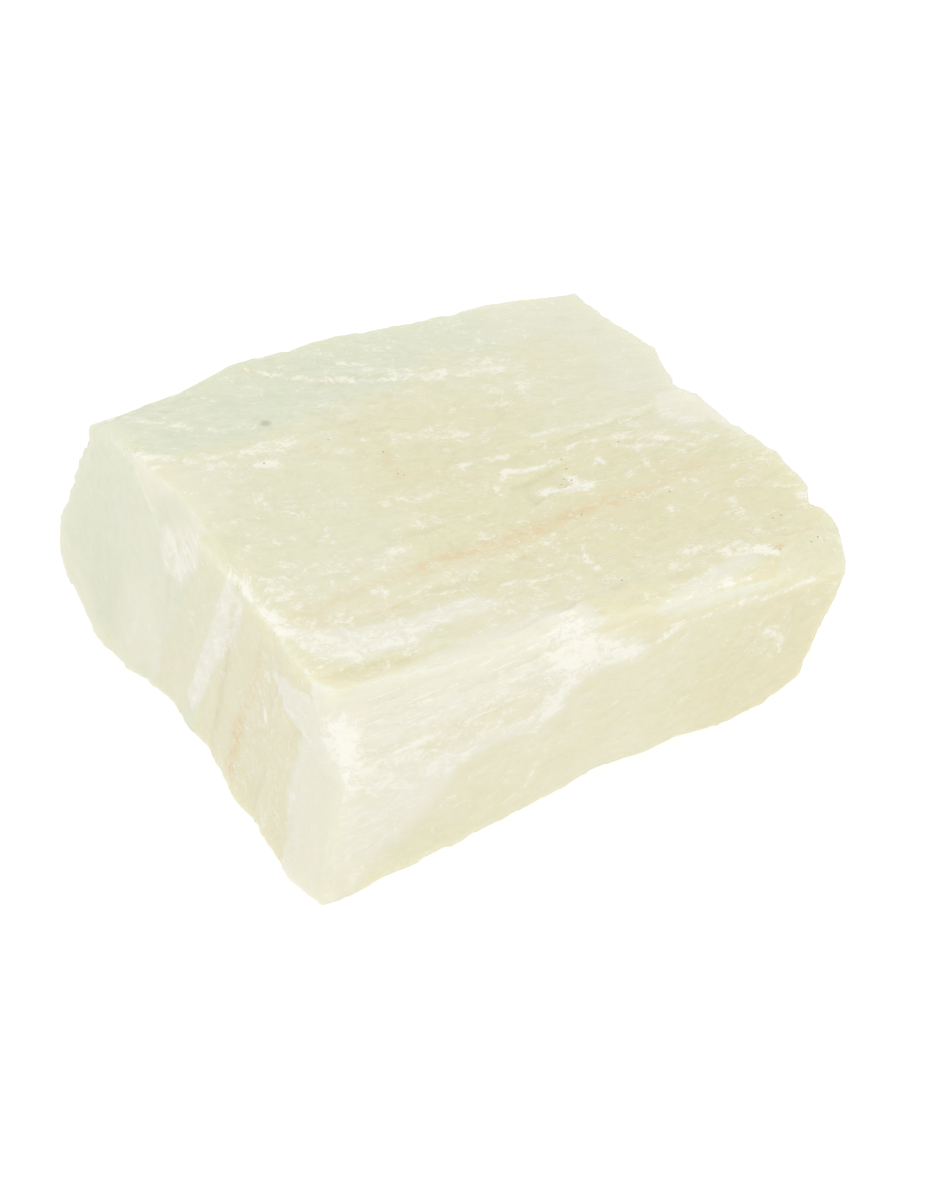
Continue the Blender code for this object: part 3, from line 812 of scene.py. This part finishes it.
def marks_of(skin, kind, face, edge_gap, ledge_gap):
    """Attributes of each point: bruise, stain, tone, milk, clean and fibre.

    Bruise is the strongest of the strokes, broken up by a cloud, the zones' white, a light
    sprinkle all over and the worn edges.
    """
    on_top = on_faces(face, "top", "brow", "back_left")
    on_left = (face == FLAKED) | on_faces(
        face, "left", "left_corner", "left_heel", "corner_kite", "front_toe")
    on_front = on_faces(face, "front_low", "front_up")
    sides = ((on_top, (0, 1), TOP_BRUISES, TOP_STAINS, TOP_ZONES, 1.0),
             (on_left, (1, 2), LEFT_BRUISES, LEFT_STAINS, LEFT_ZONES, 0.3),
             (on_front, (0, 2), FRONT_BRUISES, {}, FRONT_ZONES, 1.0))
    wandered = skin + wandering(skin, (3.0, 0.5, 100), (1.1, 0.25, 110))
    bruise, stain = np.zeros((2, len(skin)))
    tone = 0.7 + 0.4 * clouds(skin, 22, 130)
    milk = 0.25 + 0.35 * clouds(skin, 18, 140)
    for here, axes, bruises, stains, painted, sprinkled in sides:
        places = wandered[here][:, axes]
        tone[here], milk[here], white = zones(places, painted)
        sprinkle = (0.16 + 0.19 * clouds(skin[here], 9.0, 160, 2)) * sprinkled
        gappy = np.clip(0.95 + 0.55 * clouds(skin[here], 1.8, 170, 2), 0.3, 1.2)
        drawn = np.maximum(gappy * strokes(places, bruises), white)
        bruise[here] = np.maximum(drawn, sprinkle)
        stain[here] = strokes(places, stains)
    bruise = np.maximum(bruise, worn_white(skin, kind, face, edge_gap, ledge_gap))
    x, y, _ = skin.T
    clean = np.maximum(0.5 * of_kind(kind, "smooth"), on_left * smooth(2.0, 12.0, y))
    brow = on_top * smooth(-36, -38.5, y) * (1 - 0.6 * smooth(0, 8, x))
    fibre = np.maximum(of_kind(kind, "fibrous", "stepped"), brow)
    fibre = fibre * (1 - 0.8 * smooth(0.45, 0.75, bruise)) * smooth(-39.5, -37.5, x)
    return {"bruise": bruise, "stain": stain, "tone": tone, "milk": milk, "clean": clean,
            "fibre": fibre}


def setting(name, description, default, kind=FloatProperty, **limits):
    """A setting, as the panel shows it."""
    return kind(name=name, description=description, default=default, **limits)


class Shape(bpy.types.PropertyGroup):
    """Sizes of the block's breaks, in millimetres, and the fineness of its mesh."""

    across: setting("Quads along X", "Quads across the top face along X", 172, IntProperty, min=8)
    deep: setting("Quads along Y", "Quads across the top face along Y", 164, IntProperty, min=8)
    tall: setting("Rows down the sides", "Rows of quads down the sides", 72, IntProperty, min=8)
    under: setting("Rings under the block", "Rings of quads under the block", 15, IntProperty,
                   min=4)
    ledge_depth: setting("Ledge depth", "Depth of the small ledges on top, in millimetres",
                         0.3, min=0, max=2)
    ledge_slope: setting("Ledge slope", "Width of a ledge's broken wall, in millimetres",
                         0.9, min=0.1, max=4)
    fibre_depth: setting("Fibre depth", "Depth of the splintered fibres, in millimetres",
                         0.26, min=0, max=2)
    chip_depth: setting("Chip depth", "Depth of the chips along edges, in millimetres",
                        0.3, min=0, max=2)
    rounding: setting("Rounding", "How far from an edge its rounding starts, in millimetres",
                      2.0, min=0.01, max=6)
    raggedness: setting("Raggedness", "How far a ledge's edge wanders, in millimetres",
                        0.9, min=0, max=3)


def colour(name, description, value):
    """A colour setting, given as the sRGB values that a colour picker shows."""
    linear = [((c / 255 + 0.055) / 1.055) ** 2.4 for c in value]
    return setting(name, description, linear, FloatVectorProperty, size=3, subtype="COLOR",
                   min=0, max=1)


class Finish(bpy.types.PropertyGroup):
    """Colours and gloss of the stone."""

    cool: colour("Cool green", "Stone at the back and on the smooth left facet", (221, 225, 203))
    olive: colour("Olive", "Stone in the middle of the top", (227, 225, 194))
    brown: colour("Brown", "Stone at the front and right", (229, 221, 184))
    grey: colour("Milky grey", "Milkier stone with no green in it", (233, 230, 213))
    deep: colour("Deep green", "Clearer stone that one sees further into", (206, 208, 170))
    white: colour("Crushed white", "Bruised and crushed calcite", (247, 245, 234))
    rust: colour("Rust", "Iron stain along the seams", (226, 203, 158))
    speck: colour("Speck", "Dark specks on the skin", (150, 146, 112))
    gloss: setting("Roughness", "Roughness of clean cleavage", 0.42, min=0, max=1)
    glow: setting("Translucency", "Share of light that travels inside the stone", 0.6,
                  min=0, max=1)


METRES = {"subtype": "DISTANCE", "unit": "LENGTH"}
ANGLE = {"subtype": "ANGLE", "unit": "ROTATION"}


class Studio(bpy.types.PropertyGroup):
    """The floor, lights and camera."""

    floor_size: setting("Floor", "Side of the square floor", 8.0, **METRES)
    lens: setting("Lens", "Focal length in millimetres", 124.5, min=20)
    distance: setting("Camera distance", "From the camera to the point it looks at", 0.6, **METRES)
    azimuth: setting("Azimuth", "Turn of the camera about the vertical", math.radians(-33),
                     **ANGLE)
    elevation: setting("Elevation", "Height of the camera above the horizon", math.radians(40),
                       **ANGLE)
    sky: setting("Sky light", "Strength of the even light from all round", 0.84, min=0)
    lamp: setting("Soft box", "Power of the overhead soft box, in watts", 3.2, min=0)


class Net:
    """Short ways to add nodes to a tree and join them."""

    def __init__(self, tree):
        self.tree = tree

    def node(self, kind, **settings):
        made = self.tree.nodes.new("ShaderNode" + kind)
        for key, value in settings.items():
            setattr(made, key, value)
        return made

    def feed(self, target, value):
        """A socket is joined, and anything else becomes the input's own value."""
        if isinstance(value, bpy.types.NodeSocket):
            self.tree.links.new(value, target)
        else:
            target.default_value = value

    def feed_all(self, inputs, **values):
        """Feeds inputs by name, where an underscore stands for a space."""
        for key, value in values.items():
            self.feed(inputs[key.replace("_", " ")], value)

    def run(self, kind, operation, *values, output=0, **settings):
        """The outcome of an operation on some values, which are fed to its inputs in turn."""
        made = self.node(kind, operation=operation, **settings)
        for target, value in zip(made.inputs, values):
            self.feed(target, value)
        return made.outputs[output]

    def plus(self, a, b, clamp=False):
        return self.run("Math", "ADD", a, b, use_clamp=clamp)

    def minus(self, a, b):
        return self.run("Math", "SUBTRACT", a, b)

    def times(self, a, b, clamp=False):
        return self.run("Math", "MULTIPLY", a, b, use_clamp=clamp)

    def larger(self, a, b):
        return self.run("Math", "MAXIMUM", a, b)

    def stretched(self, place, by):
        """A place multiplied by a vector, axis by axis."""
        return self.run("VectorMath", "MULTIPLY", place, by)

    def gap(self, a, b):
        """The distance between two places."""
        return self.run("VectorMath", "DISTANCE", a, b, output="Value")

    def ramp(self, value, low, high, to_low=0.0, to_high=1.0):
        """Value carried smoothly from low..high to to_low..to_high."""
        made = self.node("MapRange", interpolation_type="SMOOTHSTEP")
        self.feed_all(made.inputs, Value=value, From_Min=low, From_Max=high, To_Min=to_low,
                      To_Max=to_high)
        return made.outputs["Result"]

    def blend(self, share, a, b):
        """Colour a, with share of colour b over it."""
        made = self.node("Mix", data_type="RGBA")
        self.feed_all(made.inputs, Factor=share, A=a, B=b)
        return made.outputs["Result"]

    def noise(self, place, squeeze, detail, roughness, twist):
        """Noise at a squeezed place, drawn out along the axes with the smaller numbers."""
        made = self.node("TexNoise", noise_dimensions="3D")
        self.feed_all(made.inputs, Vector=self.stretched(place, squeeze), Scale=1.0,
                      Detail=detail, Roughness=roughness, Distortion=twist)
        return made.outputs["Fac"]

    def attribute(self, name, output="Fac"):
        return self.node("Attribute", attribute_name=name).outputs[output]


def new_group(name, inputs, outputs):
    """An empty node group with its sockets, and the sockets inside it."""
    tree = bpy.data.node_groups.new(name, "ShaderNodeTree")
    for way, entries in (("INPUT", inputs), ("OUTPUT", outputs)):
        for label, kind in entries:
            tree.interface.new_socket(name=label, in_out=way, socket_type="NodeSocket" + kind)
    given, made = tree.nodes.new("NodeGroupInput"), tree.nodes.new("NodeGroupOutput")
    return Net(tree), given.outputs, made.inputs


def crushed_flecks():
    """Crushed calcite, which closes up as the bruise grows.

    It is crumbs in patches, drawn into threads where fibrous, over a haze.
    """
    net, given, made = new_group(
        "crushed flecks",
        (("Grain", "Vector"), ("Bruise", "Float"), ("Clean", "Float"), ("Fibre", "Float")),
        (("Share", "Float"), ("Height", "Float")))
    grain, bruise, fibre = given["Grain"], given["Bruise"], given["Fibre"]
    crumbs = net.noise(grain, (1.7, 2.4, 2.0), 5.0, 0.72, 0.5)
    patches = net.noise(grain, (0.28, 0.44, 0.36), 4.0, 0.62, 1.2)
    threads = net.noise(grain, (0.13, 2.3, 1.6), 4.0, 0.66, 0.3)
    both = net.plus(net.times(crumbs, 0.55), net.times(patches, 0.45))
    drawn = net.plus(net.times(crumbs, 0.35), net.times(threads, 0.65))
    field = net.plus(both, net.times(fibre, net.minus(drawn, both)))
    eager = net.minus(bruise, net.times(given["Clean"], 0.3))
    low = net.minus(0.580, net.times(eager, 0.16))
    rise = net.run("Math", "MULTIPLY_ADD", fibre, 0.04, 0.035)
    mask = net.ramp(field, low, net.plus(low, rise))
    haze = net.times(bruise, net.ramp(patches, 0.38, 0.62, 0.16, 0.62))
    thick = net.times(mask, net.ramp(bruise, 0.0, 1.0, 0.66, 0.86))
    solid = net.ramp(bruise, 0.72, 0.98, 0.0, 0.46)
    net.feed(made["Share"], net.larger(net.larger(haze, thick), solid))
    net.feed(made["Height"], net.plus(net.times(field, 0.6), net.times(mask, 0.2)))
    return net.tree


def stone_tone():
    """Cloudy stone, cool, olive or brown by tone.

    It is deeper in spots, paler where milky, and faintly streaked along the grain.
    """
    stones = [(name, "Color") for name in ("Cool", "Olive", "Brown", "Grey", "Deep")]
    net, given, made = new_group(
        "stone tone", (("Grain", "Vector"), ("Tone", "Float"), ("Milk", "Float"), *stones),
        (("Color", "Color"),))
    grain, milk = given["Grain"], given["Milk"]
    drift = net.noise(grain, (0.06, 0.13, 0.09), 4.0, 0.6, 0.6)
    warm = net.plus(given["Tone"], net.times(net.minus(drift, 0.5), 0.9))
    base = net.blend(net.ramp(warm, -1.2, 0.7), given["Cool"], given["Olive"])
    base = net.blend(net.ramp(warm, 0.4, 1.7), base, given["Brown"])
    spots = net.noise(grain, (0.46, 0.75, 0.6), 6.0, 0.70, 0.8)
    clear = net.times(net.ramp(spots, 0.40, 0.68), net.minus(0.34, net.times(milk, 0.26)))
    base = net.blend(clear, base, given["Deep"])
    streak = net.noise(grain, (0.20, 1.0, 0.6), 6.0, 0.68, 0.5)
    veil = net.times(net.ramp(streak, 0.46, 0.62), 0.25)
    net.feed(made["Color"], net.blend(net.plus(milk, veil, clamp=True), base, given["Grey"]))
    return net.tree


def placed(net, group, **values):
    """Puts a node group into a material's tree, with its inputs joined or set."""
    made = net.node("Group", node_tree=group)
    net.feed_all(made.inputs, **values)
    return made.outputs


def under_top(x, y, below=0.0):
    """A place on the plane of the top face, or below it, in the object's own metres."""
    normal, (left, _, height) = unit(CLEAVAGE["top"][0]), CLEAVAGE["top"][1]
    z = height - normal[0] / normal[2] * (x - left) - below
    return (np.array([x, y, z]) - MIDDLE) * MM


def speck_mask(net):
    """1 on the dark specks, which fade out within a fifth of a millimetre of the nearest centre.

    They reach four times as far up and down, so that the relief can't hide one.
    """
    place, stretch = net.node("TexCoord").outputs["Object"], (1, 1, 0.25)
    nearest = None
    for x, y in SPECKS:
        gap = net.gap(net.stretched(place, stretch), tuple(under_top(x, y, 0.6) * stretch))
        nearest = gap if nearest is None else net.run("Math", "MINIMUM", nearest, gap)
    return net.ramp(nearest, 0.08 * MM, 0.20 * MM, 1.0, 0.0)


def soft_spot(net):
    """Strongest in the middle of the dull round spot under the skin, and 0 from 1.3 mm out."""
    gap = net.gap(net.node("TexCoord").outputs["Object"], tuple(under_top(*SOFT_SPOT)))
    return net.ramp(gap, 0.2 * MM, 1.3 * MM, 0.42, 0.0)


def calcite_material(finish):
    """Waxy, milky calcite: cloudy stone under crushed white, rust and specks."""
    material = bpy.data.materials.new("milky_calcite")
    material.use_nodes = True
    net = Net(material.node_tree)
    shader = material.node_tree.nodes["Principled BSDF"]
    grain = net.attribute("grain", "Vector")
    bruise, stain = net.attribute("bruise"), net.attribute("stain")
    stones = {key.title(): (*getattr(finish, key), 1)
              for key in ("cool", "olive", "brown", "grey", "deep")}
    tone = placed(net, stone_tone(), Grain=grain, Tone=net.attribute("tone"),
                  Milk=net.attribute("milk"), **stones)["Color"]
    flecks = placed(net, crushed_flecks(), Grain=grain, Bruise=bruise,
                    Clean=net.attribute("clean"), Fibre=net.attribute("fibre"))
    broken = net.noise(grain, (0.7, 1.1, 0.8), 5.0, 0.68, 0.8)
    rust = net.times(stain, net.ramp(broken, 0.38, 0.62), clamp=True)
    rusty = net.blend(rust, tone, (*finish.rust, 1))
    white = net.blend(flecks["Share"], rusty, (*finish.white, 1))
    dark = net.larger(net.times(speck_mask(net), 0.9), soft_spot(net))
    skin = net.blend(dark, white, (*finish.speck, 1))
    rough = net.ramp(flecks["Share"], 0.0, 1.0, finish.gloss, finish.gloss + 0.22)
    bump = net.node("Bump")
    net.feed_all(bump.inputs, Strength=0.4, Distance=0.35 * MM, Height=flecks["Height"])
    net.feed_all(shader.inputs, Base_Color=skin, Metallic=0.0, IOR=1.5, Roughness=rough,
                 Subsurface_Weight=finish.glow, Subsurface_Radius=(1.0, 0.95, 0.7),
                 Subsurface_Scale=5.0 * MM, Normal=bump.outputs["Normal"])
    return material


def plain_material(name, rgb, roughness, own_light):
    """An even studio surface that gives a little light of its own."""
    material = bpy.data.materials.new(name)
    material.use_nodes = True
    net = Net(material.node_tree)
    net.feed_all(material.node_tree.nodes["Principled BSDF"].inputs, Base_Color=(*rgb, 1),
                 Roughness=roughness, Specular_IOR_Level=0.0, Emission_Color=(1, 1, 1, 1),
                 Emission_Strength=own_light)
    return material


def mesh_object(name, points, quads, triangles, material):
    """A mesh object at the origin, from whole arrays of points in metres and of faces."""
    mesh = bpy.data.meshes.new(name)
    mesh.vertices.add(len(points))
    mesh.vertices.foreach_set("co", np.asarray(points, np.float32).ravel())
    corners = np.concatenate([quads.ravel(), triangles.ravel()]).astype(np.int32)
    sizes = np.concatenate([np.full(len(quads), 4), np.full(len(triangles), 3)])
    mesh.loops.add(len(corners))
    mesh.loops.foreach_set("vertex_index", corners)
    mesh.polygons.add(len(sizes))
    mesh.polygons.foreach_set("loop_start", (np.cumsum(sizes) - sizes).astype(np.int32))
    mesh.update(calc_edges=True)
    mesh.validate()
    mesh.materials.append(material)
    made = bpy.data.objects.new(name, mesh)
    bpy.context.scene.collection.objects.link(made)
    return made


class OBJECT_OT_raw_calcite_block(bpy.types.Operator):
    """Make the calcite block"""

    bl_idname = "object.raw_calcite_block"
    bl_label = "Calcite block"

    def execute(self, context):
        scene = context.scene
        skin, quads, closing, *each_point = carve(scene.calcite_shape)
        material = calcite_material(scene.calcite_finish)
        block = mesh_object("calcite_block", (skin - MIDDLE) * MM, quads, closing, material)
        mesh = block.data
        for name, values in marks_of(skin, *each_point).items():
            layer = mesh.attributes.new(name, "FLOAT", "POINT")
            layer.data.foreach_set("value", values.astype(np.float32))
        layer = mesh.attributes.new("grain", "FLOAT_VECTOR", "POINT")
        layer.data.foreach_set("vector", grain_of(skin).astype(np.float32).ravel())
        mesh.shade_smooth()
        mesh.set_sharp_from_angle(angle=SHARP_FROM)
        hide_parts(NODE)
        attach(block, "root")
        return {"FINISHED"}


class OBJECT_OT_raw_calcite_studio(bpy.types.Operator):
    """Make the floor, the soft light and the camera"""

    bl_idname = "object.raw_calcite_studio"
    bl_label = "Studio"

    def execute(self, context):
        studio = context.scene.calcite_studio
        half = studio.floor_size / 2
        corners = half * np.array([[-1, -1, 0], [1, -1, 0], [1, 1, 0], [-1, 1, 0]])
        white = plain_material("studio_white", (0.30, 0.30, 0.30), 0.9, 0.78)
        floor = mesh_object("floor", corners, np.arange(4)[None], np.empty((0, 3), int), white)
        self.light(context.scene, studio)
        self.aim_camera(context.scene, studio)
        context.scene.view_settings.view_transform = "Standard"
        return {"FINISHED"}

    def light(self, scene, studio):
        """Even light from all round, and a square soft box that faces the middle."""
        scene.world = bpy.data.worlds.new("even_light")
        scene.world.use_nodes = True
        Net(scene.world.node_tree).feed_all(scene.world.node_tree.nodes["Background"].inputs,
                                            Color=(1, 1, 1, 1), Strength=studio.sky)
        lamp = bpy.data.lights.new("soft_box", "AREA")
        lamp.shape, lamp.size, lamp.energy = "SQUARE", SOFT_BOX_SIDE, studio.lamp
        made = bpy.data.objects.new("soft_box", lamp)
        made.location = SOFT_BOX_PLACE
        made.rotation_euler = (-made.location).to_track_quat("-Z", "Y").to_euler()
        scene.collection.objects.link(made)

    def aim_camera(self, scene, studio):
        """Camera at target + distance * back, where back points from the target to the camera."""
        data = bpy.data.cameras.new("camera")
        data.lens, data.sensor_width, data.clip_start = studio.lens, 36.0, 0.01
        azimuth, elevation = studio.azimuth, studio.elevation
        back = np.array([math.sin(azimuth) * math.cos(elevation),
                         -math.cos(azimuth) * math.cos(elevation), math.sin(elevation)])
        camera = bpy.data.objects.new("camera", data)
        camera.location = (LOOK_AT - MIDDLE) * MM + studio.distance * back
        camera.rotation_euler = (math.pi / 2 - elevation, 0, azimuth)
        scene.collection.objects.link(camera)
        scene.camera = camera


class VIEW3D_PT_raw_calcite(bpy.types.Panel):
    """Settings and buttons for the calcite block and its studio"""

    bl_label = "Raw Calcite"
    bl_space_type = "VIEW_3D"
    bl_region_type = "UI"
    bl_category = "Raw Calcite"

    def draw(self, context):
        scene = context.scene
        for title, group, operator in (
                ("Shape", scene.calcite_shape, None),
                ("Finish", scene.calcite_finish, OBJECT_OT_raw_calcite_block),
                ("Studio", scene.calcite_studio, OBJECT_OT_raw_calcite_studio)):
            box = self.layout.box()
            box.label(text=title)
            for key in group.__annotations__:
                box.prop(group, key)
            if operator:
                box.operator(operator.bl_idname)


CLASSES = (Shape, Finish, Studio, OBJECT_OT_raw_calcite_block, OBJECT_OT_raw_calcite_studio,
           VIEW3D_PT_raw_calcite)


def register():
    for item in CLASSES:
        bpy.utils.register_class(item)
    bpy.types.Scene.calcite_shape = PointerProperty(type=Shape)
    bpy.types.Scene.calcite_finish = PointerProperty(type=Finish)
    bpy.types.Scene.calcite_studio = PointerProperty(type=Studio)


def unregister():
    del bpy.types.Scene.calcite_studio
    del bpy.types.Scene.calcite_finish
    del bpy.types.Scene.calcite_shape
    for item in reversed(CLASSES):
        bpy.utils.unregister_class(item)


def main():
    register()
    bpy.ops.object.raw_calcite_block()
    bpy.ops.object.raw_calcite_studio()


if __name__ == "__main__":
    main()
